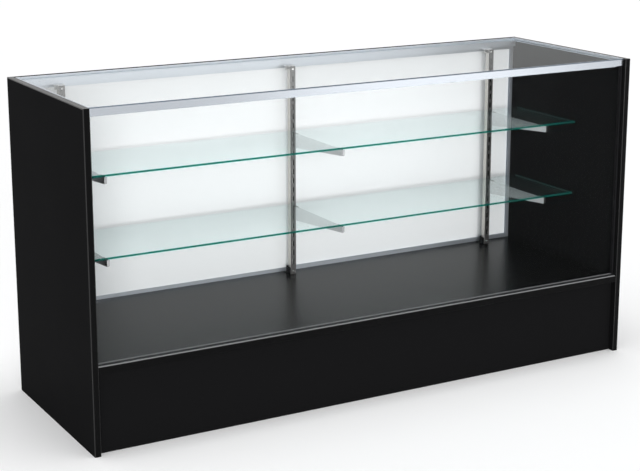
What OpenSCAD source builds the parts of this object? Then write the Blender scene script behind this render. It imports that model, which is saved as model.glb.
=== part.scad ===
// Full vision display case: a long retail counter on a closed black base, with glass at the front
// and on top, two glass shelves on slotted standards and two sliding doors at the back.
// X runs along the case, Y from the customer's side to the back, Z up.
// The origin is on the floor under the middle of the case. Sizes are in millimetres.

/* [Case] */
// Width over the end panels
case_w = 1828.8; // [1200:0.1:2400]
// Depth over the end panels
case_d = 609.6; // [480:0.1:800]
// Height of the end panels
case_h = 965.2; // [850:0.1:1200]
// Height of the deck's top above the floor
deck_z = 254; // [180:1:360]

/* [Boards] */
// Thickness of an end panel
panel_t = 19; // [16:0.5:25]
// Thickness of the deck
deck_t = 19; // [16:0.5:25]
// Thickness of the boards under the deck
base_board_t = 16; // [12:0.5:22]
// Thickness of an edge band
band_t = 3; // [1:0.5:4]
// Rounding of an edge band's corners
band_round = 2.5; // [0.5:0.1:3.5]
// Deck's front edge behind the front of the end panels
deck_setback = 2; // [0:0.5:8]
// Kick panel's face behind the front of the end panels
kick_setback = 22; // [12:1:60]
// Back of the doors' frame and base inside the back of the end panels
back_setback = 1; // [0:0.5:10]
// Thickness of the header board
header_t = 19; // [16:0.5:25]
// Height of the header board
header_h = 18; // [15:1:40]

/* [Board fittings] */
// Diameter of a wood dowel
dowel_d = 8; // [6:0.5:10]
// Length of a wood dowel, half in each board
dowel_l = 26; // [20:1:30]
// Gap round a dowel
dowel_gap = 0.1; // [0.05:0.05:0.3]
// Dowels from a base board's top and bottom edges
dowel_inset = 45; // [25:1:80]
// Diameter of a cam lock
cam_d = 15; // [12:0.5:18]
// Thickness of a cam lock
cam_t = 12.5; // [10:0.5:13.5]
// Middle of a cam lock from the end of the deck
cam_reach = 34; // [24:1:45]
// Cam locks at each end of the deck
cam_count = 4; // [2:1:6]
// First and last cam lock from the deck's front and back edges
cam_inset = 80; // [50:1:120]
// Diameter of a cam bolt's shank
cam_bolt_d = 6; // [5:0.5:7]
// Diameter of a cam bolt's thread
cam_thread_d = 5; // [4:0.5:6]
// Length of a cam bolt's thread in the end panel
cam_thread_l = 11; // [8:0.5:14]
// Gap round a cam lock and its bolt
cam_gap = 0.1; // [0.05:0.05:0.3]

/* [Glass] */
// Thickness of the front glass
front_glass_t = 6; // [5:0.5:10]
// Front glass behind the front of the end panels
front_glass_setback = 18; // [15:0.5:30]
// Thickness of the top glass
top_glass_t = 6; // [5:0.5:10]
// Gap between a pane's edge and its frame
edge_gap = 0.5; // [0.2:0.1:2]
// Wall of the sill and side seals
seal_wall = 1.5; // [1:0.1:3]
// Height of the sill's back wall and width of the side seals
seal_h = 6; // [4:0.5:12]
// Height of the sill's front wall
sill_front_h = 3.5; // [3.5:0.5:8]
// Height of the glazing wedge where it meets the front glass
wedge_h = 4.5; // [3.5:0.5:8]
// Gap between the front glass and the walls of its seals
seal_gap = 0.1; // [0.05:0.05:0.4]
// Thickness of the gasket under the top glass
gasket_t = 0.8; // [0.5:0.1:2]

/* [Top rails] */
// Wall thickness of the rails
rail_wall = 2; // [1.5:0.1:3]
// Depth of the rear and side rails
rail_d = 12; // [10:0.5:20]
// Width of the rails' rim beside the top glass
rim_w = 4; // [3:0.5:6]
// Height of the front rail
front_rail_h = 22; // [18:0.5:40]
// Front rail's face behind the front of the end panels
front_rail_setback = 11; // [8:0.5:13]
// Rounding along the front rail's top edge
front_rail_round = 4; // [0.5:0.1:4]
// Height of the rear rail
rear_rail_h = 28; // [24:0.5:45]
// Front rail's inner leg below its face
front_leg_drop = 5; // [0:0.5:10]
// Length of a side rail's spline in the end panel
spline_l = 8; // [5:0.5:12]
// Gap round a spline in its groove
spline_gap = 0.1; // [0.05:0.05:0.3]

/* [Doors and tracks] */
// Thickness of a door
door_t = 5; // [4:0.5:8]
// Gap between a door and the walls of its channel
door_gap = 0.9; // [0.6:0.1:1.5]
// Overlap of the doors in the middle
door_overlap = 30; // [20:1:60]
// Gap between a closed door and its jamb
door_end_gap = 1; // [0.5:0.1:3]
// How far a door reaches up into the upper track
door_top_grip = 7.5; // [5:0.5:8]
// Wall thickness of the tracks and jambs
track_wall = 1.5; // [1:0.1:2.5]
// Thickness of the tracks' and jambs' web
track_web = 2.2; // [2:0.1:3]
// Height of the upper track
upper_track_h = 20; // [18:0.5:30]
// Height of the lower track
lower_track_h = 12; // [10:0.5:20]
// Width of the jambs
jamb_w = 10; // [8:0.5:16]
// Thickness of a door's glides
glide_t = 2; // [1:0.5:4]
// Length of a glide
glide_l = 40; // [20:1:80]
// Glides from the ends of a door
glide_inset = 60; // [30:1:120]
// Running gap under the glides
glide_gap = 0.2; // [0.1:0.1:0.3]
// Diameter of a finger pull's cup
pull_d = 26; // [20:1:40]
// Width of the flange round a cup
pull_flange_w = 3; // [2:0.5:6]
// Thickness of a cup's flange
pull_flange_t = 0.8; // [0.5:0.1:1.2]
// Depth of a cup in the door
pull_depth = 3; // [2:0.1:3.4]
// Wall of a cup
pull_wall = 0.8; // [0.5:0.1:1.2]
// Gap round a cup
pull_gap = 0.1; // [0.05:0.05:0.3]
// Finger pulls from the outer end of a door
pull_inset = 55; // [40:1:120]

/* [Standards] */
// Middle of an outer standard from the end panel
standard_inset = 125; // [60:1:300]
// Width of a standard
standard_w = 19; // [14:0.5:24]
// Depth of a standard
standard_d = 18; // [14:0.5:26]
// Wall thickness of a standard
standard_wall = 1.5; // [1:0.1:2]
// Space between a standard and the rear rail
standard_gap = 14; // [10:0.5:30]
// Width of a slot
slot_w = 5; // [3.5:0.1:6]
// Height of a slot
slot_h = 18; // [18:0.5:22]
// Distance from one slot to the next
slot_pitch = 30; // [28:0.5:38]
// First slot's middle above the deck
slot_start = 42; // [36:1:60]
// Least distance from the last slot to the standard's top
slot_margin = 30; // [25:1:50]
// Height of the cut in a standard's sides at its head
standard_head_cut = 11; // [6:0.5:20]
// Height of the cut in a standard's sides at its foot
standard_foot_cut = 22; // [16:0.5:23.5]
// Thickness of a clip's plates
clip_t = 2; // [1.5:0.1:3]
// Width of a clip behind its standard
clip_w = 32; // [26:0.5:45]
// Height of a head clip behind its standard
head_clip_h = 13; // [10:0.5:30]
// Height of a head clip's hook in the rear rail
head_clip_hook = 10; // [6:0.5:14]
// Height of a foot clip behind its standard
foot_clip_h = 26; // [24:0.5:40]
// Length of a foot clip's sole
foot_clip_sole = 18; // [14:0.5:20]
// Height of a clip inside its standard
clip_tongue_h = 20; // [16:0.5:22]
// Gap between a clip and the standard or rail round it
clip_gap = 0.2; // [0.1:0.1:0.5]
// Standard screws from the ends of a standard
standard_screw_inset = 9; // [7:0.5:12]

/* [Shelves] */
// Thickness of a shelf
shelf_t = 6; // [5:0.5:10]
// Depth of a shelf
shelf_d = 315; // [200:1:420]
// Gap between a shelf and the end panels
shelf_end_gap = 10; // [3:0.5:30]
// Gap between a shelf and the standards
shelf_back_gap = 3; // [1:0.5:10]
// Gap between a shelf's front edge and the brackets' noses, which stand back from it
shelf_overhang = 2; // [1:0.5:4]
// Number of slots below the one that carries the upper shelf
upper_slot_count = 14; // [12:1:16]
// Number of slots below the one that carries the lower shelf
lower_slot_count = 6; // [4:1:8]
// Thickness of a bracket
bracket_t = 2.5; // [2:0.1:3.2]
// Bracket's top edge above the middle of its slot
bracket_rise = 8; // [6:0.5:12]
// Height of a bracket's nose
bracket_nose_h = 20; // [12:0.5:30]
// Width of the flange bent aside at a bracket's nose
bracket_flange_w = 8; // [6:0.5:14]
// Radius of the flange's lower corner
bracket_flange_round = 4; // [1:0.5:5]
// Height of a hook's neck in its slot
hook_neck_h = 10; // [8:0.5:10]
// Drop of a hook behind the standard's face
hook_drop = 7; // [5:0.5:8]
// Thickness of a hook's tip
hook_t = 2.5; // [2:0.1:4]
// Gap between a hook's tip and the standard's face
hook_gap = 0.2; // [0.1:0.1:0.5]
// Thickness of a shelf pad
pad_t = 1.5; // [1:0.1:3]
// Length of a shelf pad
pad_l = 28; // [8:0.5:40]
// Width of a shelf pad
pad_w = 5; // [4:0.5:10]
// Shelf pads from the shelf's front and back edges
pad_inset = 4; // [4:0.5:40]

/* [Screws] */
// Diameter of a screw's shank
screw_d = 3.5; // [3:0.1:4]
// Gap round a screw's shank and head
screw_gap = 0.1; // [0.05:0.05:0.2]
// Diameter of a round screw head
head_d = 7.5; // [6:0.1:9]
// Diameter of a round screw head's flat top
head_top_d = 5.2; // [4:0.1:5.8]
// Height of a round screw head
head_h = 2.2; // [1.5:0.1:3]
// Diameter of a flat screw head
flat_head_d = 6; // [5:0.1:6.4]
// Height of a flat screw head
flat_head_h = 1.6; // [1:0.1:1.9]
// Length of a screw's shank in wood
screw_grip = 11; // [8:0.5:13]
// Width of the drive slots in a screw head
drive_w = 1; // [0.6:0.1:1.4]
// Depth of the drive slots in a screw head
drive_h = 0.7; // [0.4:0.1:0.9]
// Screws in each jamb
jamb_screws = 3; // [2:1:5]
// Screws along each track and the rear rail
long_screws = 5; // [3:1:9]
// First and last screw from the ends of a rail or track
screw_inset = 60; // [40:1:120]

/* [Hidden] */

$fn = 32;

// Colours
board_black = "#1c1c1e";
band_black = "#2a2a2c";
glass_tint = "#cfe6e1";
seal_grey = "#8b8f92";
seal_black = "#242527";
gasket_clear = "#c6cfd1";
glide_white = "#dcdcd8";
aluminium = "#c3c8ce";
steel = "#a9a7a2";
zinc = "#8f9092";
pad_grey = "#4b4d50";
door_white = "#f2f3f3";
wood_tan = "#c8a878";

// Faces of the boards
half_w = case_w / 2;
inner_x = half_w - panel_t;
front_y = -case_d / 2;
rear_y = case_d / 2;
back_y = rear_y - back_setback;
deck_under_z = deck_z - deck_t;
deck_front_y = front_y + deck_setback;
kick_y = front_y + kick_setback;
rear_base_y = back_y - base_board_t;
header_y = back_y - header_t;
header_z = case_h - header_h;

// Front glass and its seals
pane_y = front_y + front_glass_setback;
pane_back_y = pane_y + front_glass_t;
seal_y = pane_y - seal_gap - seal_wall;
seal_back_y = pane_back_y + seal_gap + seal_wall;
sill_y = deck_front_y + band_t;
wedge_y = sill_y + seal_wall + seal_gap;
wedge_z = deck_z + seal_wall + seal_gap;

// Top frame
ledge_z = case_h - top_glass_t - gasket_t;
ledge_under_z = ledge_z - rail_wall;
front_rail_y = front_y + front_rail_setback;
front_rail_z = case_h - front_rail_h;
pocket_back_y = pane_back_y + edge_gap;
front_ledge_y = pocket_back_y + rail_wall;
front_leg_z = front_rail_z - front_leg_drop;
rear_rail_z = case_h - rear_rail_h;

// Doors and tracks
channel_w = door_t + 2 * door_gap;
track_d = 2 * channel_w + 3 * track_wall;
track_y = back_y - track_d;
front_channel_y = track_y + track_wall;
rear_channel_y = front_channel_y + channel_w + track_wall;
upper_track_z = header_z - upper_track_h;
lower_track_top_z = deck_z + lower_track_h;
door_bottom_z = deck_z + track_web + glide_gap + glide_t;
door_top_z = upper_track_z + door_top_grip;
door_end_x = inner_x - track_web - door_end_gap;
pull_z = (door_bottom_z + door_top_z) / 2;

// The rear rail stands against whichever is further forward, the header or the upper track
rear_rail_back_y = min(header_y, track_y);
rear_rail_y = rear_rail_back_y - rail_d;

// Standards
standard_back_y = rear_rail_y - standard_gap;
standard_y = standard_back_y - standard_d;
standard_top_z = rear_rail_z;
standard_xs = [standard_inset - inner_x, 0, inner_x - standard_inset];
slot_room = standard_top_z - slot_margin - deck_z - slot_start;
slot_count = floor(slot_room / slot_pitch) + 1;
tongue_y = standard_y + standard_wall;
tongue_w = standard_w - 2 * standard_wall - 2 * clip_gap;

// Shelves and brackets
shelf_back_y = standard_y - shelf_back_gap;
shelf_y = shelf_back_y - shelf_d;
shelf_half_l = inner_x - shelf_end_gap;
bracket_nose_y = shelf_y + shelf_overhang;
bracket_foot = 1;
bracket_root_h = bracket_rise + slot_pitch + slot_h / 2 + bracket_foot;
upper_bracket_z = bracket_top_z(upper_slot_count);
lower_bracket_z = bracket_top_z(lower_slot_count);

// Fittings
dowel_hole_l = dowel_l / 2 + edge_gap;
cam_z = deck_under_z + cam_t / 2;
cam_bolt_head_l = cam_bolt_d / 2;
cam_ys = spread(deck_front_y + cam_inset, back_y - cam_inset, cam_count);
base_dowel_zs = [dowel_inset, deck_under_z - dowel_inset];
base_dowel_ys = [kick_y + base_board_t / 2, rear_base_y + base_board_t / 2];
header_dowel_y = header_y + header_t / 2;
header_dowel_z = header_z + header_h / 2;
rear_screw_z = (header_z + ledge_under_z) / 2;
long_xs = spread(screw_inset - inner_x, inner_x - screw_inset, long_screws);
rear_rail_xs = [for (i = [1 : long_screws - 1]) (long_xs[i - 1] + long_xs[i]) / 2];
jamb_screw_zs = spread(lower_track_top_z + screw_inset, upper_track_z - screw_inset, jamb_screws);
track_screw_y = front_channel_y + channel_w / 2;
foot_screw_y = standard_back_y + clip_t + (foot_clip_sole - clip_t) / 2;
screw_hole_d = screw_d + 2 * screw_gap;
rail_screw_l = rail_wall + screw_grip;
track_screw_l = track_web + screw_grip;
foot_screw_l = clip_t + screw_grip;
standard_screw_l = standard_wall + 2 * clip_t;
standard_screw_zs = [deck_z + standard_screw_inset, standard_top_z - standard_screw_inset];

// Middle of a slot, counted from the deck
function slot_z(i) = deck_z + slot_start + i * slot_pitch;

// Top edge of a bracket hooked into a slot
function bracket_top_z(i) = slot_z(i) + bracket_rise;

// Evenly spaced values from the first to the last
function spread(first, last, count) = [for (i = [0 : count - 1]) first + i * (last - first) / (count - 1)];

// Box between two corners
module span(low, high) {
    translate(low) cube(high - low);
}

// Rectangle between two values on each axis
module rect(u, v) {
    translate([u[0], v[0]]) square([u[1] - u[0], v[1] - v[0]]);
}

// Outline in Y and Z drawn out along X
module along_x(from, to) {
    translate([from, 0, 0]) rotate([90, 0, 90]) linear_extrude(to - from) children();
}

// Outline in X and Z drawn out along Y
module along_y(from, to) {
    translate([0, to, 0]) rotate([90, 0, 0]) linear_extrude(to - from) children();
}

// The child and its mirror image at the other end of the case
module both_ends() {
    children();
    mirror([1, 0, 0]) children();
}

// Round bar between two points on a line along one axis: "x", "y" or "z"
module bar(at, axis, l, d) {
    turn = axis == "x" ? [0, 90, 0] : axis == "y" ? [-90, 0, 0] : [0, 0, 0];
    translate(at) rotate(turn) cylinder(d = d, h = l);
}

// Edge band's section: a strip whose outer corners are rounded, with its outer face on the u axis
module band_section(w) {
    r = min(band_round, band_t - edge_gap);
    rect([0, w], [r, band_t]);
    intersection() {
        rect([0, w], [0, band_t]);
        union() {
            rect([r, w - r], [0, band_t]);
            translate([r, r]) circle(r);
            translate([w - r, r]) circle(r);
        }
    }
}

// Section of a track or jamb with two channels that open upwards, from v = 0 to v = h
module channel_section(h) {
    rect([track_y, back_y], [0, track_web]);
    for (y = [track_y, front_channel_y + channel_w, back_y - track_wall]) {
        rect([y, y + track_wall], [0, h]);
    }
}

// Cross-shaped drive slots cut into a head of a screw that points along -Z, head's top at z = 0
module drive_slots(d) {
    l = d / 2;
    for (turn = [0, 90]) {
        rotate(turn) translate([-l / 2, -drive_w / 2, -drive_h]) cube([l, drive_w, 2 * drive_h]);
    }
}

// Round-headed screw along -Z with the underside of its head at z = 0
module round_screw(l) {
    difference() {
        union() {
            cylinder(d1 = head_d, d2 = head_top_d, h = head_h);
            translate([0, 0, -l]) cylinder(d = screw_d, h = l);
        }
        translate([0, 0, head_h]) drive_slots(head_top_d);
    }
}

// Flat-headed screw along -Z with the top of its head at z = 0
module flat_screw(l) {
    difference() {
        union() {
            translate([0, 0, -flat_head_h]) cylinder(d1 = screw_d, d2 = flat_head_d, h = flat_head_h);
            translate([0, 0, -l]) cylinder(d = screw_d, h = l);
        }
        drive_slots(flat_head_d);
    }
}

// Hole for a flat-headed screw along -Z through a web whose face is at z = 0
module flat_screw_hole(l) {
    gap = 2 * screw_gap;
    translate([0, 0, -flat_head_h]) cylinder(d1 = screw_d + gap, d2 = flat_head_d + gap, h = flat_head_h);
    cylinder(d = flat_head_d + gap, h = screw_gap);
    shank_hole(l);
}

// Hole along -Z for the shank of a screw of one length
module shank_hole(l) {
    translate([0, 0, -l]) cylinder(d = screw_hole_d, h = l + screw_gap);
}

// Places of the flat screws: along both tracks and up both jambs
module at_lower_track_screws() {
    for (x = long_xs) translate([x, track_screw_y, deck_z + track_web]) children();
}
module at_upper_track_screws() {
    for (x = long_xs) translate([x, track_screw_y, header_z - track_web]) mirror([0, 0, 1]) children();
}
module at_jamb_screws() {
    both_ends() for (z = jamb_screw_zs) {
        translate([inner_x - track_web, track_screw_y, z]) rotate([0, -90, 0]) children();
    }
}

// Places of the round screws: rear rail, standards and foot clips
module at_rear_rail_screws() {
    for (x = rear_rail_xs) {
        translate([x, rear_rail_back_y - rail_wall, rear_screw_z]) rotate([90, 0, 0]) children();
    }
}
module at_standard_screws(xs) {
    for (x = xs, z = standard_screw_zs) {
        translate([x, standard_y, z]) rotate([90, 0, 0]) children();
    }
}
module at_foot_clip_screws() {
    for (x = standard_xs) translate([x, foot_screw_y, deck_z + clip_t]) children();
}

// Dowels that stand in one end panel and the boards that meet it, as bars of one diameter
module end_dowels(l, d) {
    for (y = base_dowel_ys, z = base_dowel_zs) bar([inner_x - l / 2, y, z], "x", l, d);
    bar([inner_x - l / 2, header_dowel_y, header_dowel_z], "x", l, d);
}
module dowel_holes() {
    both_ends() end_dowels(2 * dowel_hole_l, dowel_d + 2 * dowel_gap);
}

// Boards

module end_panel() {
    color(board_black) difference() {
        span([inner_x, front_y + band_t, 0], [half_w, rear_y - band_t, case_h - band_t]);
        dowel_holes();
        for (y = cam_ys) bar([inner_x, y, cam_z], "x", cam_thread_l + edge_gap, cam_thread_d + 2 * cam_gap);
        at_jamb_screws() shank_hole(track_screw_l + edge_gap);
        span(
            [inner_x - spline_gap, front_ledge_y - spline_gap, ledge_under_z - spline_gap],
            [inner_x + spline_l + edge_gap, rear_rail_y + spline_gap, ledge_z + spline_gap]
        );
    }
}

module right_end_panel() {
    end_panel();
}

module left_end_panel() {
    mirror([1, 0, 0]) end_panel();
}

module edge_band() {
    color(band_black) {
        translate([inner_x, front_y, 0]) linear_extrude(case_h) band_section(panel_t);
        translate([inner_x, rear_y, 0]) mirror([0, 1, 0]) linear_extrude(case_h) band_section(panel_t);
        translate([inner_x, front_y + band_t, case_h]) rotate([-90, 0, 0])
            linear_extrude(case_d - 2 * band_t) band_section(panel_t);
    }
}

module right_edge_band() {
    edge_band();
}

module left_edge_band() {
    mirror([1, 0, 0]) edge_band();
}

module deck() {
    color(board_black) difference() {
        span([-inner_x, deck_front_y + band_t, deck_under_z], [inner_x, back_y, deck_z]);
        both_ends() for (y = cam_ys) {
            bar([inner_x - cam_reach, y, deck_under_z], "z", cam_t + edge_gap, cam_d + 2 * cam_gap);
            bar([inner_x - cam_reach, y, cam_z], "x", cam_reach, cam_bolt_d + 2 * cam_gap);
        }
        at_lower_track_screws() shank_hole(track_screw_l + edge_gap);
        at_foot_clip_screws() shank_hole(foot_screw_l + edge_gap);
    }
}

module deck_edge_band() {
    color(band_black) translate([-inner_x, deck_front_y, deck_under_z]) rotate([90, 0, 90])
        linear_extrude(2 * inner_x) mirror([1, -1, 0]) band_section(deck_t);
}

module kick_panel() {
    color(board_black) difference() {
        span([-inner_x, kick_y, 0], [inner_x, kick_y + base_board_t, deck_under_z]);
        dowel_holes();
    }
}

module rear_base_panel() {
    color(board_black) difference() {
        span([-inner_x, rear_base_y, 0], [inner_x, back_y, deck_under_z]);
        dowel_holes();
    }
}

module base_divider() {
    color(board_black)
        span([-base_board_t / 2, kick_y + base_board_t, 0], [base_board_t / 2, rear_base_y, deck_under_z]);
}

module rear_header() {
    color(board_black) difference() {
        span([-inner_x, header_y, header_z], [inner_x, back_y, case_h]);
        dowel_holes();
        at_upper_track_screws() shank_hole(track_screw_l + edge_gap);
        at_rear_rail_screws() shank_hole(rail_screw_l + edge_gap);
    }
}

// Board fittings

module wood_dowels() {
    color(wood_tan) both_ends() end_dowels(dowel_l, dowel_d);
}

module cam_locks() {
    color(zinc) both_ends() for (y = cam_ys) difference() {
        bar([inner_x - cam_reach, y, deck_under_z], "z", cam_t, cam_d);
        bar([inner_x - cam_reach - cam_bolt_head_l, y, cam_z], "x", cam_d, cam_bolt_d + 2 * cam_gap);
        translate([inner_x - cam_reach, y, deck_under_z]) mirror([0, 0, 1]) drive_slots(cam_d);
    }
}

module cam_bolts() {
    color(zinc) both_ends() for (y = cam_ys) {
        bar([inner_x - cam_reach, y, cam_z], "x", cam_reach, cam_bolt_d);
        bar([inner_x, y, cam_z], "x", cam_thread_l, cam_thread_d);
    }
}

// Front glass

module front_glass() {
    pane_x = inner_x - seal_wall - edge_gap;
    color(glass_tint, 0.4)
        span([-pane_x, pane_y, deck_z + seal_wall], [pane_x, pane_back_y, ledge_under_z - edge_gap]);
}

module front_glass_sill() {
    color(seal_grey) along_x(-inner_x, inner_x) {
        rect([sill_y, seal_back_y], [deck_z, deck_z + seal_wall]);
        rect([sill_y, sill_y + seal_wall], [deck_z, deck_z + sill_front_h]);
        rect([seal_back_y - seal_wall, seal_back_y], [deck_z, deck_z + seal_h]);
    }
}

// Strip pressed into the sill in front of the glass, sloped on top
module front_glass_wedge() {
    color(seal_black) along_x(-inner_x, inner_x) polygon([
        [wedge_y, wedge_z],
        [pane_y - seal_gap, wedge_z],
        [pane_y - seal_gap, deck_z + wedge_h],
        [wedge_y, deck_z + sill_front_h],
    ]);
}

module glass_seal() {
    color(seal_black) difference() {
        span([inner_x - seal_h, seal_y, deck_z + seal_h], [inner_x, seal_back_y, front_leg_z]);
        span(
            [inner_x - 2 * seal_h, seal_y + seal_wall, deck_z],
            [inner_x - seal_wall, seal_back_y - seal_wall, case_h]
        );
    }
}

module right_glass_seal() {
    glass_seal();
}

module left_glass_seal() {
    mirror([1, 0, 0]) glass_seal();
}

// Top rails and top glass

module front_top_rail() {
    r = min(front_rail_round, rim_w);
    color(aluminium) along_x(-inner_x, inner_x) difference() {
        union() {
            rect([front_rail_y, front_rail_y + rail_wall], [front_rail_z, case_h]);
            rect([front_rail_y, front_rail_y + rim_w], [ledge_under_z, case_h]);
            rect([front_rail_y, front_ledge_y], [ledge_under_z, ledge_z]);
            rect([pocket_back_y, front_ledge_y], [front_leg_z, ledge_z]);
            rect([front_rail_y, pane_y - edge_gap], [front_rail_z, front_rail_z + rail_wall]);
        }
        translate([front_rail_y, case_h]) difference() {
            rect([-r, r], [-r, r]);
            translate([r, -r]) circle(r);
        }
    }
}

module rear_top_rail() {
    y = rear_rail_back_y;
    color(aluminium) difference() {
        along_x(-inner_x, inner_x) {
            rect([y - rail_wall, y], [rear_rail_z, case_h]);
            rect([y - rim_w, y], [ledge_under_z, case_h]);
            rect([rear_rail_y, y], [ledge_under_z, ledge_z]);
            rect([rear_rail_y, rear_rail_y + rail_wall], [rear_rail_z, ledge_z]);
        }
        at_rear_rail_screws() shank_hole(2 * rail_wall);
    }
}

// Slim rail along an end panel: a rim beside the top glass, a ledge under it and a spline pressed into the
// panel's groove
module side_top_rail() {
    color(aluminium) {
        along_y(front_ledge_y, rear_rail_y)
            rect([inner_x - rail_d, inner_x + spline_l], [ledge_under_z, ledge_z]);
        along_y(front_rail_y + rim_w, rear_rail_back_y - rim_w)
            rect([inner_x - rim_w, inner_x], [ledge_z, case_h]);
    }
}

module right_top_rail() {
    side_top_rail();
}

module left_top_rail() {
    mirror([1, 0, 0]) side_top_rail();
}

module top_rail_screws() {
    color(steel) at_rear_rail_screws() round_screw(rail_screw_l);
}

module top_glass_gasket() {
    outer_x = inner_x - rim_w;
    color(gasket_clear) difference() {
        span(
            [-outer_x, front_rail_y + rim_w, ledge_z],
            [outer_x, rear_rail_back_y - rim_w, ledge_z + gasket_t]
        );
        span(
            [-inner_x + rail_d, front_ledge_y, ledge_z - gasket_t],
            [inner_x - rail_d, rear_rail_y, ledge_z + 2 * gasket_t]
        );
    }
}

module top_glass() {
    pane_x = inner_x - rim_w - edge_gap;
    color(glass_tint, 0.4) span(
        [-pane_x, front_rail_y + rim_w + edge_gap, ledge_z + gasket_t],
        [pane_x, rear_rail_back_y - rim_w - edge_gap, case_h]
    );
}

// Tracks, jambs and doors

module lower_door_track() {
    color(aluminium) difference() {
        along_x(-inner_x, inner_x) translate([0, deck_z]) channel_section(lower_track_h);
        at_lower_track_screws() flat_screw_hole(2 * track_web);
    }
}

module upper_door_track() {
    color(aluminium) difference() {
        along_x(-inner_x, inner_x) translate([0, header_z]) mirror([0, 1, 0])
            channel_section(upper_track_h);
        at_upper_track_screws() flat_screw_hole(2 * track_web);
    }
}

module jamb() {
    color(aluminium) difference() {
        translate([inner_x, 0, lower_track_top_z]) linear_extrude(upper_track_z - lower_track_top_z)
            rotate(90) channel_section(jamb_w);
        at_jamb_screws() flat_screw_hole(2 * track_web);
    }
}

module right_jamb() {
    jamb();
}

module left_jamb() {
    mirror([1, 0, 0]) jamb();
}

module track_screws() {
    color(steel) {
        at_lower_track_screws() flat_screw(track_screw_l);
        at_upper_track_screws() flat_screw(track_screw_l);
        at_jamb_screws() flat_screw(track_screw_l);
    }
}

// Door in the channel at y, from one end of the case (side -1 or 1) to just past the middle
module door(y, side) {
    x = [side * door_end_x, -side * door_overlap / 2];
    color(door_white) difference() {
        span([min(x), y + door_gap, door_bottom_z], [max(x), y + door_gap + door_t, door_top_z]);
        translate([side * (door_end_x - pull_inset), y + door_gap + door_t - pull_depth, pull_z])
            rotate([-90, 0, 0]) cylinder(d = pull_d + 2 * pull_gap, h = 2 * pull_depth);
    }
}

module door_glides(y, side) {
    for (x = [door_end_x - glide_inset, glide_inset - door_overlap / 2]) {
        color(glide_white) translate([side * x - glide_l / 2, y + door_gap, door_bottom_z - glide_t])
            cube([glide_l, door_t, glide_t]);
    }
}

module door_pull(y, side) {
    color(zinc) translate([side * (door_end_x - pull_inset), y + door_gap + door_t, pull_z])
        rotate([-90, 0, 0]) difference() {
            union() {
                translate([0, 0, -pull_depth]) cylinder(d = pull_d, h = pull_depth);
                cylinder(d = pull_d + 2 * pull_flange_w, h = pull_flange_t);
            }
            translate([0, 0, pull_wall - pull_depth])
                cylinder(d = pull_d - 2 * pull_wall, h = 2 * pull_depth);
        }
}

module left_door() {
    door(front_channel_y, -1);
}

module left_door_glides() {
    door_glides(front_channel_y, -1);
}

module left_door_pull() {
    door_pull(front_channel_y, -1);
}

module right_door() {
    door(rear_channel_y, 1);
}

module right_door_glides() {
    door_glides(rear_channel_y, 1);
}

module right_door_pull() {
    door_pull(rear_channel_y, 1);
}

// Standards

// Slotted channel that is open to the back, its sides cut away at the head and at the foot for the clips
module standard(x) {
    cut_y = standard_y + standard_wall;
    cut_top_z = standard_top_z - standard_head_cut;
    color(steel) difference() {
        translate([x - standard_w / 2, standard_y, deck_z])
            cube([standard_w, standard_d, standard_top_z - deck_z]);
        translate([x - standard_w / 2 + standard_wall, standard_y + standard_wall, deck_z - standard_wall])
            cube([standard_w - 2 * standard_wall, standard_d, standard_top_z - deck_z + 2 * standard_wall]);
        for (i = [0 : slot_count - 1]) {
            translate([x - slot_w / 2, standard_y - standard_wall, slot_z(i) - slot_h / 2])
                cube([slot_w, 3 * standard_wall, slot_h]);
        }
        translate([x - standard_w, cut_y, cut_top_z]) cube([2 * standard_w, standard_d, 2 * standard_head_cut]);
        translate([x - standard_w, cut_y, deck_z - standard_foot_cut])
            cube([2 * standard_w, standard_d, 2 * standard_foot_cut]);
        at_standard_screws([x]) shank_hole(2 * standard_wall);
    }
}

module left_standard() {
    standard(standard_xs[0]);
}

module middle_standard() {
    standard(standard_xs[1]);
}

module right_standard() {
    standard(standard_xs[2]);
}

// Flat leg of a clip, with its middle at x
module clip_plate(x, w, y, z) {
    span([x - w / 2, y[0], z[0]], [x + w / 2, y[1], z[1]]);
}

// Bent clip that ties a standard's head to the rear rail: a tongue behind the standard's face, a flange
// behind its back, a bridge under the rail and a hook up inside the rail
module standard_head_clips() {
    flange = [standard_back_y, standard_back_y + clip_t];
    hook_y = rear_rail_y + rail_wall + clip_gap;
    top_z = standard_top_z;
    bridge_z = top_z - clip_t;
    color(zinc) for (x = standard_xs) difference() {
        union() {
            clip_plate(x, tongue_w, [tongue_y, tongue_y + clip_t], [top_z - clip_tongue_h, top_z]);
            clip_plate(x, tongue_w, [tongue_y, standard_back_y + clip_t], [bridge_z, top_z]);
            clip_plate(x, clip_w, flange, [top_z - head_clip_h, top_z]);
            clip_plate(x, clip_w, [standard_back_y, hook_y + clip_t], [bridge_z, top_z]);
            clip_plate(x, clip_w, [hook_y, hook_y + clip_t], [bridge_z, top_z + head_clip_hook]);
        }
        at_standard_screws([x]) shank_hole(standard_screw_l);
    }
}

// Moulded clip that ties a standard's foot to the deck: a block behind the standard's face, a flange
// behind its back and a sole on the deck
module standard_foot_clips() {
    flange = [standard_back_y, standard_back_y + clip_t];
    sole_y = standard_back_y + foot_clip_sole;
    color(band_black) for (x = standard_xs) difference() {
        union() {
            clip_plate(x, tongue_w, [tongue_y, standard_back_y + clip_t], [deck_z, deck_z + clip_tongue_h]);
            clip_plate(x, clip_w, flange, [deck_z, deck_z + foot_clip_h]);
            clip_plate(x, clip_w, [standard_back_y, sole_y], [deck_z, deck_z + clip_t]);
        }
        at_standard_screws([x]) shank_hole(standard_screw_l);
        at_foot_clip_screws() shank_hole(2 * clip_t);
    }
}

module standard_screws() {
    color(steel) at_standard_screws(standard_xs) round_screw(standard_screw_l);
}

module foot_clip_screws() {
    color(steel) at_foot_clip_screws() round_screw(foot_screw_l);
}

// Shelves and brackets

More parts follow.
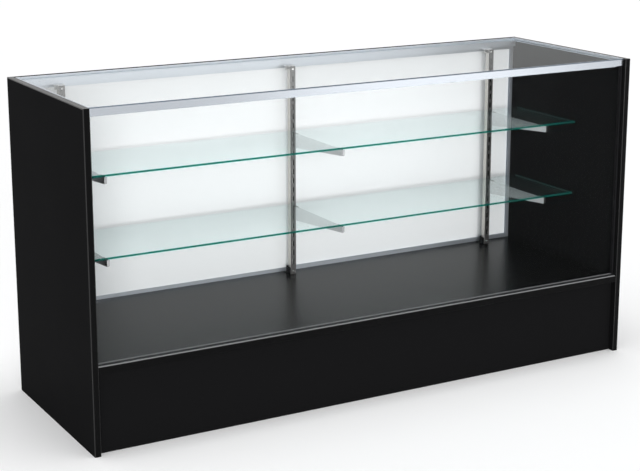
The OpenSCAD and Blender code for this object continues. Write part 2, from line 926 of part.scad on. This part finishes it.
// Bracket's side in Y and Z with its top edge at v = 0: a tapered blade and two hooks that sit on the
// lower edges of their slots
module bracket_section() {
    polygon([
        [standard_y, 0],
        [bracket_nose_y, 0],
        [bracket_nose_y, -bracket_nose_h],
        [standard_y, -bracket_root_h],
    ]);
    hook_y = standard_y + standard_wall + hook_gap;
    for (i = [0, 1]) {
        seat = -bracket_rise - i * slot_pitch - slot_h / 2;
        rect([standard_y - bracket_foot, hook_y + hook_t], [seat, seat + hook_neck_h]);
        rect([hook_y, hook_y + hook_t], [seat - hook_drop, seat + hook_neck_h]);
    }
}

// Flange at a bracket's nose in X and Z, from the blade's left side at u = 0
module bracket_flange_section() {
    r = min(bracket_flange_round, bracket_flange_w - bracket_t);
    rect([0, bracket_flange_w], [r - bracket_nose_h, 0]);
    rect([0, bracket_flange_w - r], [-bracket_nose_h, 0]);
    translate([bracket_flange_w - r, r - bracket_nose_h]) circle(r);
}

module bracket(x, top_z) {
    left_x = x - bracket_t / 2;
    color(steel) {
        along_x(left_x, left_x + bracket_t) translate([0, top_z]) bracket_section();
        along_y(bracket_nose_y, bracket_nose_y + bracket_t) translate([left_x, top_z]) bracket_flange_section();
    }
}

module upper_left_bracket() {
    bracket(standard_xs[0], upper_bracket_z);
}

module upper_middle_bracket() {
    bracket(standard_xs[1], upper_bracket_z);
}

module upper_right_bracket() {
    bracket(standard_xs[2], upper_bracket_z);
}

module lower_left_bracket() {
    bracket(standard_xs[0], lower_bracket_z);
}

module lower_middle_bracket() {
    bracket(standard_xs[1], lower_bracket_z);
}

module lower_right_bracket() {
    bracket(standard_xs[2], lower_bracket_z);
}

module shelf_pads(top_z) {
    for (x = standard_xs, y = [shelf_y + pad_inset, shelf_back_y - pad_inset - pad_l]) {
        color(pad_grey) translate([x - pad_w / 2, y, top_z]) cube([pad_w, pad_l, pad_t]);
    }
}

module upper_shelf_pads() {
    shelf_pads(upper_bracket_z);
}

module lower_shelf_pads() {
    shelf_pads(lower_bracket_z);
}

module shelf(top_z) {
    under_z = top_z + pad_t;
    color(glass_tint, 0.4)
        span([-shelf_half_l, shelf_y, under_z], [shelf_half_l, shelf_back_y, under_z + shelf_t]);
}

module upper_shelf() {
    shelf(upper_bracket_z);
}

module lower_shelf() {
    shelf(lower_bracket_z);
}

left_end_panel();
right_end_panel();
left_edge_band();
right_edge_band();
deck();
deck_edge_band();
kick_panel();
rear_base_panel();
base_divider();
rear_header();
wood_dowels();
cam_locks();
cam_bolts();
front_glass();
front_glass_sill();
front_glass_wedge();
left_glass_seal();
right_glass_seal();
front_top_rail();
rear_top_rail();
left_top_rail();
right_top_rail();
top_rail_screws();
top_glass_gasket();
top_glass();
upper_door_track();
lower_door_track();
left_jamb();
right_jamb();
track_screws();
left_standard();
middle_standard();
right_standard();
standard_head_clips();
standard_foot_clips();
standard_screws();
foot_clip_screws();
upper_left_bracket();
upper_middle_bracket();
upper_right_bracket();
lower_left_bracket();
lower_middle_bracket();
lower_right_bracket();
upper_shelf_pads();
lower_shelf_pads();
upper_shelf();
lower_shelf();
left_door();
left_door_glides();
left_door_pull();
right_door();
right_door_glides();
right_door_pull();
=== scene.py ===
"""Looks of the full vision display case: materials, glass panes, floor, light and camera."""
import math

import bmesh
import bpy
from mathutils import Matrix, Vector


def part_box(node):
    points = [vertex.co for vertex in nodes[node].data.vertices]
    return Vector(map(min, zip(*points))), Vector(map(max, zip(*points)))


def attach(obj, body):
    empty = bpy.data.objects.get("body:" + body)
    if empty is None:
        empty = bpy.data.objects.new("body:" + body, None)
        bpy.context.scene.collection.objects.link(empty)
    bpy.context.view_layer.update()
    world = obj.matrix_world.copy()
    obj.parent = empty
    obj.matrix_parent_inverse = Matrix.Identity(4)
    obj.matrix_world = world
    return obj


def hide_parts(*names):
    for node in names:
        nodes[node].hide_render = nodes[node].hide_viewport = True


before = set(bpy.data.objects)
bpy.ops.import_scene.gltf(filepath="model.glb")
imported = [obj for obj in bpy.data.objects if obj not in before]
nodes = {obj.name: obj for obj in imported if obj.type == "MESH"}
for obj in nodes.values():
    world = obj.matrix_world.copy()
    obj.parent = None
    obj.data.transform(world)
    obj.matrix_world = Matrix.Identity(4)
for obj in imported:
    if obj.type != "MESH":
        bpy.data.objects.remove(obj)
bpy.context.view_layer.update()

scene = bpy.context.scene
MM = 0.001


# Shader helpers

# A Mix node's colour sockets, which share their names with its sockets of other kinds
MIX_UNDER = 6
MIX_OVER = 7
MIX_RESULT = 2


class Nodes:
    """The nodes of a material or a world, with short ways to add and feed them."""

    def __init__(self, owner, output):
        owner.use_nodes = True
        self.tree = owner.node_tree
        self.tree.nodes.clear()
        self.output = self.add(output)

    def add(self, kind, **settings):
        node = self.tree.nodes.new(kind)
        for key, value in settings.items():
            setattr(node, key, value)
        return node

    def feed(self, value, node, key):
        """Link another node's output to an input, or set the input to a plain value."""
        if isinstance(value, bpy.types.NodeSocket):
            self.tree.links.new(value, node.inputs[key])
        else:
            node.inputs[key].default_value = value

    def plain(self, kind, color):
        """A shader of one colour."""
        node = self.add(kind)
        self.feed((*color, 1.0), node, "Color")
        return node

    def math(self, operation, *values):
        node = self.add("ShaderNodeMath", operation=operation)
        for place, value in enumerate(values):
            self.feed(value, node, place)
        return node.outputs["Value"]

    def blend(self, share, first, second):
        """The first shader, with the second in its place by a share."""
        node = self.add("ShaderNodeMixShader")
        self.feed(share, node, "Fac")
        self.feed(first.outputs[0], node, 1)
        self.feed(second.outputs[0], node, 2)
        return node

    def show(self, shader):
        self.feed(shader.outputs[0], self.output, "Surface")


class Look(Nodes):
    """The nodes of a new material."""

    def __init__(self, name):
        self.material = bpy.data.materials.new(name)
        super().__init__(self.material, "ShaderNodeOutputMaterial")

    def finished(self, shader):
        self.show(shader)
        return self.material

    def principled(self, color, roughness, metallic=0.0, specular=0.5):
        """The usual shader. Its plain values stay on its inputs, also where a node is linked later."""
        node = self.add("ShaderNodeBsdfPrincipled")
        self.feed((*color, 1.0), node, "Base Color")
        self.feed(roughness, node, "Roughness")
        self.feed(metallic, node, "Metallic")
        self.feed(specular, node, "Specular IOR Level")
        return node

    def position(self):
        """A point's place in the frame at rest, in metres."""
        return self.add("ShaderNodeTexCoord").outputs["Object"]

    def axes(self, vector):
        """A vector's three numbers, by the names of their axes."""
        node = self.add("ShaderNodeSeparateXYZ")
        self.feed(vector, node, "Vector")
        return node.outputs

    def noise(self, per_metre=1.0, stretch=(1, 1, 1), detail=2.0, roughness=0.5):
        """Noise with a number of features per metre, which stretch multiplies along each axis."""
        mapping = self.add("ShaderNodeMapping")
        self.feed(stretch, mapping, "Scale")
        self.feed(self.position(), mapping, "Vector")
        node = self.add("ShaderNodeTexNoise")
        self.feed(per_metre, node, "Scale")
        self.feed(detail, node, "Detail")
        self.feed(roughness, node, "Roughness")
        self.feed(mapping.outputs["Vector"], node, "Vector")
        return node.outputs["Fac"]

    def spread(self, value, low, high, start=0.3, end=0.7):
        """Numbers from low to high as a value goes from start to end, which suit noise if left out."""
        node = self.add("ShaderNodeMapRange")
        self.feed(value, node, "Value")
        self.feed(start, node, "From Min")
        self.feed(end, node, "From Max")
        self.feed(low, node, "To Min")
        self.feed(high, node, "To Max")
        return node.outputs["Result"]

    def ramp(self, value, low, high, start=0.3, end=0.7):
        """Colours from low to high as a value goes from start to end."""
        node = self.add("ShaderNodeValToRGB")
        first, last = node.color_ramp.elements
        first.position, last.position = start, end
        first.color, last.color = (*low, 1.0), (*high, 1.0)
        self.feed(value, node, "Fac")
        return node.outputs["Color"]

    def tones(self, value, color, darker, lighter):
        """A colour that noise darkens and lightens by shares of itself."""
        return self.ramp(value, shade(color, 1 - darker), shade(color, 1 + lighter))

    def painted(self, color, mask, over):
        """A colour with another one over it where a mask is 1."""
        node = self.add("ShaderNodeMix", data_type="RGBA")
        self.feed(mask, node, "Factor")
        self.feed(color, node, MIX_UNDER)
        self.feed((*over, 1.0), node, MIX_OVER)
        return node.outputs[MIX_RESULT]

    def bump(self, value, depth, strength):
        node = self.add("ShaderNodeBump")
        self.feed(strength, node, "Strength")
        self.feed(depth, node, "Distance")
        self.feed(value, node, "Height")
        return node.outputs["Normal"]

    def squareness(self):
        """1 where a face lies square to an axis, less on a rounded edge."""
        form = self.add("ShaderNodeNewGeometry")
        size = self.add("ShaderNodeVectorMath", operation="ABSOLUTE")
        self.feed(form.outputs["Normal"], size, 0)
        share = self.axes(size.outputs["Vector"])
        return self.math("MAXIMUM", self.math("MAXIMUM", share["X"], share["Y"]), share["Z"])


def shade(color, share):
    return tuple(c * share for c in color)


# Materials

# Grain that runs one way: how often it changes along each axis, per metre
LINES = 2200
ALONG_X = (1, LINES, LINES)
ALONG_Y = (LINES, 1, LINES)
ALONG_Z = (LINES, LINES, 1)
ROLLED_Z = (LINES, LINES, 2)
LINE_DEPTH = 0.004 * MM
DOWEL_GRAIN = (25, 900, 900)
EDGE_STREAKS = (6, 6, 400)

# The slotted standards' wall, and how far from a face still counts as that face
STANDARD_WALL = 1.5 * MM
SKIN = 0.1 * MM

# A mirror's share of the light rises with this power towards a low angle
MIRROR_POWER = 5.0

# Colours
BLACK = (0.0075, 0.0075, 0.0079)
DECK_BLACK = (0.003, 0.003, 0.0032)
BAND_BLACK = (0.0028, 0.0028, 0.003)
PLASTIC_BLACK = (0.012, 0.012, 0.013)
# Painted shade: black for the inside of the standards' channels, behind their slots
SLOT_PAINTED_SHADE = (0.008, 0.008, 0.008)
ALUMINIUM = (0.58, 0.615, 0.66)
# Painted shade: the front rail's aluminium is coloured darker than the other rails' same metal
SHADED_FRONT_ALUMINIUM = (0.48, 0.51, 0.55)
# Painted shade: the front rail's rounded edges coloured darker, for their dimmer reflection
ROUNDS_PAINTED_SHADE = (0.14, 0.17, 0.21)
NICKEL = (0.6, 0.58, 0.55)
# Painted reflection: the standards' front web coloured a dark nickel, for the dim room it mirrors
WEB_PAINTED_REFLECTION = (0.165, 0.16, 0.157)
BEECH = (0.5, 0.33, 0.18)
BEECH_DARK = (0.36, 0.22, 0.11)
BEECH_PALE = (0.6, 0.42, 0.24)
MIRROR = (0.97, 0.99, 0.99)
DUST = (0.7, 0.86, 0.84)
VINYL_TINT = (0.93, 0.96, 0.97)
FLOOR_WHITE = (0.97, 0.97, 0.97)


def black_board(
    name, color=BLACK, specular=0.001, roughness=(0.3, 0.38), pebble=0.008 * MM, fleck=0.2, buffed=None
):
    """Satin black board or band with a fine pebbled face. Buffed is the gloss of its rounded edges."""
    look = Look(name)
    body = look.principled(color, roughness[0], specular=specular)
    clouds = look.noise(per_metre=5.0, detail=3.0)
    flecks = look.noise(per_metre=700.0)
    pebbles = look.noise(per_metre=1400.0, detail=3.0)
    look.feed(look.spread(clouds, *roughness), body, "Roughness")
    look.feed(look.tones(flecks, color, fleck, fleck), body, "Base Color")
    look.feed(look.bump(pebbles, pebble, strength=0.4), body, "Normal")
    if buffed is not None:
        gloss = look.spread(look.squareness(), buffed, specular, start=0.94, end=1.0)
        look.feed(gloss, body, "Specular IOR Level")
    return look.finished(body)


def brushed(name, color, stretch, roughness=(0.42, 0.52), variation=0.08, rounds_shade=None):
    """Satin anodised metal with fine lines along it, and, if given, a painted shade darkening its rounded
    edges.
    """
    look = Look(name)
    body = look.principled(color, roughness[0], metallic=1.0)
    lines = look.noise(stretch=stretch, detail=4.0, roughness=0.6)
    tone = look.tones(lines, color, variation, variation / 2)
    if rounds_shade is not None:
        # Painted shade: rounded edges are coloured darker, standing in for a dimmer reflection
        rounded = look.spread(look.squareness(), 1.0, 0.0, start=0.92, end=0.99)
        tone = look.painted(tone, rounded, rounds_shade)
    look.feed(tone, body, "Base Color")
    look.feed(look.spread(lines, *roughness), body, "Roughness")
    look.feed(look.bump(lines, LINE_DEPTH, strength=0.3), body, "Normal")
    return look.finished(body)


def plated(name, color, roughness, cloud=0.06, dent=0.002 * MM):
    """Plated steel: slightly clouded gloss and a trace of unevenness from the press."""
    look = Look(name)
    body = look.principled(color, roughness[0], metallic=1.0)
    patches = look.noise(per_metre=30.0)
    dents = look.noise(per_metre=90.0, detail=1.0)
    look.feed(look.spread(patches, *roughness), body, "Roughness")
    look.feed(look.tones(patches, color, cloud, cloud / 2), body, "Base Color")
    look.feed(look.bump(dents, dent, strength=0.4), body, "Normal")
    return look.finished(body)


def slotted_steel(name, low, high):
    """Nickel plated channel: rolled lines along it, a painted dark reflection on its web, and painted
    black shade inside it behind its slots.
    """
    look = Look(name)
    body = look.principled(NICKEL, 0.25, specular=0.0)
    lines = look.noise(stretch=ROLLED_Z, detail=3.0, roughness=0.6)
    look.feed(look.spread(lines, 0.42, 0.52), body, "Roughness")
    look.feed(look.bump(lines, LINE_DEPTH, strength=0.3), body, "Normal")
    place = look.axes(look.position())
    middle = (low[0] + high[0]) / 2
    inner_half = (high[0] - low[0]) / 2 - STANDARD_WALL + SKIN
    front = low[1]
    # Painted shade: the inner faces of the channel are coloured black and made not metal
    between = look.math("COMPARE", place["X"], middle, inner_half)
    behind = look.math("GREATER_THAN", place["Y"], front + 2 * SKIN)
    inside = look.math("MULTIPLY", between, behind)
    # Painted reflection: the front face of the web is coloured darker
    web = look.math("LESS_THAN", place["Y"], front + SKIN)
    look.feed(look.math("SUBTRACT", 1.0, inside), body, "Metallic")
    tone = look.tones(lines, NICKEL, 0.06, 0.04)
    tone = look.painted(tone, web, WEB_PAINTED_REFLECTION)
    look.feed(look.painted(tone, inside, SLOT_PAINTED_SHADE), body, "Base Color")
    return look.finished(body)


def plastic(name, color, roughness, specular=0.4, grain=900.0, depth=0.03 * MM, variation=0.04):
    """Moulded plastic, rubber or facing with a fine grain, counted per metre."""
    look = Look(name)
    body = look.principled(color, roughness, specular=specular)
    clouds = look.noise(per_metre=9.0, detail=3.0)
    flecks = look.noise(per_metre=grain / 3)
    grains = look.noise(per_metre=grain, detail=3.0)
    look.feed(look.spread(clouds, roughness - 0.05, roughness + 0.06), body, "Roughness")
    look.feed(look.tones(flecks, color, variation, variation / 2), body, "Base Color")
    look.feed(look.bump(grains, depth, strength=0.5), body, "Normal")
    return look.finished(body)


def wood(name):
    """Bare beech with its grain along the dowel."""
    look = Look(name)
    body = look.principled(BEECH, 0.6, specular=0.3)
    grain = look.noise(stretch=DOWEL_GRAIN, detail=5.0, roughness=0.65)
    look.feed(look.ramp(grain, BEECH_DARK, BEECH_PALE), body, "Base Color")
    look.feed(look.spread(grain, 0.5, 0.7), body, "Roughness")
    look.feed(look.bump(grain, depth=0.05 * MM, strength=0.5), body, "Normal")
    return look.finished(body)


def glass_face(name, tint, haze, head_on, grazing):
    """A pane's face: clear, with a trace of haze, and more of a mirror towards a low angle.

    Head_on is the share that is mirrored straight on, and grazing is what a low angle adds to it.
    """
    look = Look(name)
    clear = look.plain("ShaderNodeBsdfTransparent", tint)
    mirror = look.plain("ShaderNodeBsdfGlossy", MIRROR)
    look.feed(look.spread(look.noise(per_metre=4.0, detail=4.0), 0.005, 0.03), mirror, "Roughness")
    weight = look.add("ShaderNodeLayerWeight")
    steep = look.math("POWER", weight.outputs["Facing"], MIRROR_POWER)
    share = look.spread(steep, head_on, head_on + grazing, start=0.0, end=1.0)
    dust = look.plain("ShaderNodeBsdfDiffuse", DUST)
    cover = look.spread(look.noise(per_metre=14.0, detail=5.0), 0.7 * haze, 1.3 * haze)
    return look.finished(look.blend(cover, look.blend(share, clear, mirror), dust))


def glass_edge(name, through, color):
    """A polished pane edge: deep green, and brighter where something pale is behind it."""
    look = Look(name)
    body = look.principled(color, 0.12, specular=0.08)
    streaks = look.noise(stretch=EDGE_STREAKS, detail=3.0)
    look.feed(look.tones(streaks, color, 0.2, 0.15), body, "Base Color")
    clear = look.plain("ShaderNodeBsdfTransparent", through)
    return look.finished(look.blend(0.5, clear, body))


def clear_vinyl(name, color, solid):
    """Clear flexible section: mostly see-through, with a soft sheen and faint haze."""
    look = Look(name)
    body = look.principled(color, 0.3)
    look.feed(look.spread(look.noise(per_metre=40.0, detail=3.0), 0.22, 0.4), body, "Roughness")
    clear = look.plain("ShaderNodeBsdfTransparent", VINYL_TINT)
    return look.finished(look.blend(solid, clear, body))


# Boards and their bands
BAND = {"color": BAND_BLACK, "specular": 0.05, "roughness": (0.24, 0.3)}
board = black_board("black_melamine")
deck_board = black_board(
    "black_deck_melamine", DECK_BLACK, specular=0.1,
    roughness=(0.262, 0.268), pebble=0.0002 * MM, fleck=0.02,
)
deck_band = black_board("black_deck_band", **BAND)
panel_band = black_board("black_panel_band", **BAND, buffed=0.42)
dowel = wood("dowel_beech")

# Metals
# Painted shade: the front rail is the rails' aluminium coloured darker, with painted darker rounded edges
front_rail = brushed(
    "aluminium_front", SHADED_FRONT_ALUMINIUM, ALONG_X,
    roughness=(0.24, 0.28), variation=0.03, rounds_shade=ROUNDS_PAINTED_SHADE,
)
rail_x = brushed("aluminium_along_x", ALUMINIUM, ALONG_X)
rail_y = brushed("aluminium_along_y", ALUMINIUM, ALONG_Y)
rail_z = brushed("aluminium_along_z", ALUMINIUM, ALONG_Z)
nickel = plated("nickel_plate", (0.42, 0.425, 0.43), roughness=(0.18, 0.22), cloud=0.03, dent=0.001 * MM)
zinc = plated("zinc_plate", (0.56, 0.56, 0.56), roughness=(0.28, 0.45))
bright_zinc = plated("bright_zinc_screws", (0.72, 0.72, 0.71), roughness=(0.15, 0.28))
pull_plate = plated("pull_plate", (0.6, 0.6, 0.6), roughness=(0.22, 0.36))

# Plastics, rubber and the doors' facing
black_plastic = plastic("black_moulding", PLASTIC_BLACK, roughness=0.5, specular=0.1)
rubber = plastic("pad_rubber", (0.035, 0.036, 0.038), roughness=0.6, specular=0.3)
nylon = plastic("glide_nylon", (0.74, 0.74, 0.71), roughness=0.45)
door_white = plastic(
    "door_facing", (0.88, 0.885, 0.89), roughness=0.42, specular=0.2,
    grain=1500.0, depth=0.003 * MM, variation=0.015,
)
vinyl = clear_vinyl("clear_vinyl", (0.62, 0.66, 0.69), solid=0.05)
sill_vinyl = plastic("grey_vinyl", (0.17, 0.172, 0.175), roughness=0.35, specular=0.35)
seal_vinyl = plastic("black_vinyl", PLASTIC_BLACK, roughness=0.45, specular=0.12)

# Glass
CLEAN_PANE = {"haze": 0.0005, "head_on": 0.001, "grazing": 0.17}
front_pane = glass_face("front_pane_glass", (0.995, 0.998, 0.999), **CLEAN_PANE)
top_pane = glass_face("top_pane_glass", (0.964, 0.968, 0.969), **CLEAN_PANE)
shelf_glass = glass_face("shelf_glass", (0.944, 0.986, 0.983), haze=0.007, head_on=0.04, grazing=0.96)
edge = glass_edge("glass_edge", through=(0.0, 0.38, 0.31), color=(0.0, 0.13, 0.1))
end = glass_edge("glass_end", through=(0.2, 0.6, 0.52), color=(0.02, 0.09, 0.08))

LOOKS = {
    board: [
        "left_end_panel", "right_end_panel", "kick_panel",
        "rear_base_panel", "base_divider", "rear_header",
    ],
    deck_board: ["deck"],
    deck_band: ["deck_edge_band"],
    panel_band: ["left_edge_band", "right_edge_band"],
    front_rail: ["front_top_rail"],
    rail_x: ["rear_top_rail", "upper_door_track", "lower_door_track"],
    rail_y: ["left_top_rail", "right_top_rail"],
    rail_z: ["left_jamb", "right_jamb"],
    nickel: [node for node in nodes if node.endswith("_bracket")],
    zinc: ["cam_locks", "cam_bolts", "standard_head_clips"],
    black_plastic: ["standard_foot_clips"],
    bright_zinc: ["top_rail_screws", "track_screws", "standard_screws", "foot_clip_screws"],
    pull_plate: ["left_door_pull", "right_door_pull"],
    rubber: ["upper_shelf_pads", "lower_shelf_pads"],
    nylon: ["left_door_glides", "right_door_glides"],
    door_white: ["left_door", "right_door"],
    dowel: ["wood_dowels"],
    vinyl: ["top_glass_gasket"],
    sill_vinyl: ["front_glass_sill"],
    seal_vinyl: ["front_glass_wedge", "left_glass_seal", "right_glass_seal"],
}
for name in ("left_standard", "middle_standard", "right_standard"):
    low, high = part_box(name)
    LOOKS[slotted_steel(name + "_nickel", low, high)] = [name]
for material, names in LOOKS.items():
    for name in names:
        slots = nodes[name].data.materials
        slots.clear()
        slots.append(material)


def add_object(name, data):
    piece = bpy.data.objects.new(name, data)
    scene.collection.objects.link(piece)
    return piece


# Glass panes: ground edges with a narrow arris all round

ARRIS = 0.7 * MM

# The places of a shelf's looks, and how far a face leans to a side to count as that side
SHELF_FACE = 0
SHELF_EDGE = 1
SHELF_END = 2
LEAN = 0.3


def shelf_side(normal):
    """The shelf's front edge shows the deep green of the glass, its ends less, its back and faces none."""
    if normal.y < -LEAN:
        return SHELF_EDGE
    return SHELF_END if abs(normal.x) > LEAN else SHELF_FACE


def glass_pane(name, node, looks, side=None):
    """A pane in place of a node. Side picks each face's look by its normal, where there are several."""
    low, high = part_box(node)
    mesh = bpy.data.meshes.new(name)
    shape = bmesh.new()
    bmesh.ops.create_cube(shape, size=1.0)
    for v in shape.verts:
        v.co = Vector((low[i] if v.co[i] < 0 else high[i]) for i in range(3))
    edges = list(shape.edges)
    bmesh.ops.bevel(
        shape, geom=edges, offset=ARRIS, segments=2, profile=0.5, affect="EDGES", clamp_overlap=True
    )
    bmesh.ops.recalc_face_normals(shape, faces=list(shape.faces))
    if side is not None:
        for face in shape.faces:
            face.material_index = side(face.normal)
    shape.to_mesh(mesh)
    shape.free()
    for look in looks:
        mesh.materials.append(look)
    piece = add_object(name, mesh)
    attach(piece, "case")
    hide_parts(node)


glass_pane("front_glass_pane", "front_glass", [front_pane])
glass_pane("top_glass_pane", "top_glass", [top_pane])
for shelf in ("upper_shelf", "lower_shelf"):
    glass_pane(shelf + "_glass", shelf, [shelf_glass, edge, end], shelf_side)


# Floor

FLOOR_HALF = 60.0

floor_mesh = bpy.data.meshes.new("floor")
quarters = ((-1, -1), (1, -1), (1, 1), (-1, 1))
floor_mesh.from_pydata([(x * FLOOR_HALF, y * FLOOR_HALF, 0.0) for x, y in quarters], [], [(0, 1, 2, 3)])
floor = add_object("floor", floor_mesh)
floor_look = Look("pale_floor")
floor_body = floor_look.principled(FLOOR_WHITE, roughness=0.9, specular=0.1)
floor_mesh.materials.append(floor_look.finished(floor_body))


# Light: angles in degrees, places and sizes in metres

BACKDROP_WHITE = (1.0, 1.0, 1.0)
WORLD_LIGHT = (0.56, 0.564, 0.57)
BOX_PLACE = (2.15, -3.3, 0.56)
BOX_WIDTH = 1.7
BOX_HEIGHT = 1.1
BOX_WATTS = 6.6


def direction(yaw, pitch):
    """Yaw 0 is from the customer's side to the doors, and more turns right. More pitch points up."""
    yaw, pitch = math.radians(yaw), math.radians(pitch)
    return Vector((math.sin(yaw) * math.cos(pitch), math.cos(yaw) * math.cos(pitch), math.sin(pitch)))


def aim(piece, towards, axis):
    """Turn an object so that one of its axes points a way, with its Y axis up."""
    piece.rotation_mode = "QUATERNION"
    piece.rotation_quaternion = towards.to_track_quat(axis, "Y")


def studio_world():
    """White where it is seen, also in glass and metal, and a plain grey as light on the case."""
    world = bpy.data.worlds.new("studio")
    sky = Nodes(world, "ShaderNodeOutputWorld")
    light = sky.plain("ShaderNodeBackground", WORLD_LIGHT)
    backdrop = sky.plain("ShaderNodeBackground", BACKDROP_WHITE)
    path = sky.add("ShaderNodeLightPath")
    seen = path.outputs["Is Camera Ray"]
    for kind in ("Is Glossy Ray", "Is Transmission Ray"):
        seen = sky.math("MAXIMUM", seen, path.outputs[kind])
    sky.show(sky.blend(seen, light, backdrop))
    return world


def soft_lamp(name, azimuth, elevation, level, spread):
    """Broad even light from far off, where a level of 1 shows a colour as it is written.

    Azimuth 0 is the front, and more is to the right.
    """
    lamp = bpy.data.lights.new(name, "SUN")
    lamp.energy = level * math.pi
    lamp.angle = math.radians(spread)
    aim(add_object(name, lamp), direction(180.0 - azimuth, elevation), "Z")


def soft_box(name):
    """A soft box at the front right that shines straight back, and that the camera doesn't see."""
    lamp = bpy.data.lights.new(name, "AREA")
    lamp.shape = "RECTANGLE"
    lamp.size = BOX_WIDTH
    lamp.size_y = BOX_HEIGHT
    lamp.energy = BOX_WATTS
    piece = add_object(name, lamp)
    piece.location = BOX_PLACE
    piece.visible_camera = False
    aim(piece, direction(0.0, 0.0), "-Z")


scene.world = studio_world()
soft_lamp("key", azimuth=-20.0, elevation=7.0, level=0.69, spread=26.0)
soft_lamp("top", azimuth=20.0, elevation=87.0, level=0.4, spread=40.0)
soft_lamp("rim", azimuth=161.0, elevation=9.0, level=0.008, spread=18.0)
soft_box("soft_box")


# Camera: fitted to the case's corners in the photograph, with a small shift

CAMERA_PLACE = (-2.3325, -4.0496, 1.6727)
CAMERA_YAW = 29.545
CAMERA_PITCH = -13.32
CAMERA_SENSOR = 36.0
CAMERA_LENS = 87.38
CAMERA_SHIFT = -0.0625

camera_data = bpy.data.cameras.new("camera")
camera_data.sensor_width = CAMERA_SENSOR
camera_data.lens = CAMERA_LENS
camera_data.shift_y = CAMERA_SHIFT
camera = add_object("camera", camera_data)
camera.location = CAMERA_PLACE
aim(camera, direction(CAMERA_YAW, CAMERA_PITCH), "-Z")
scene.camera = camera

scene.view_settings.view_transform = "Standard"
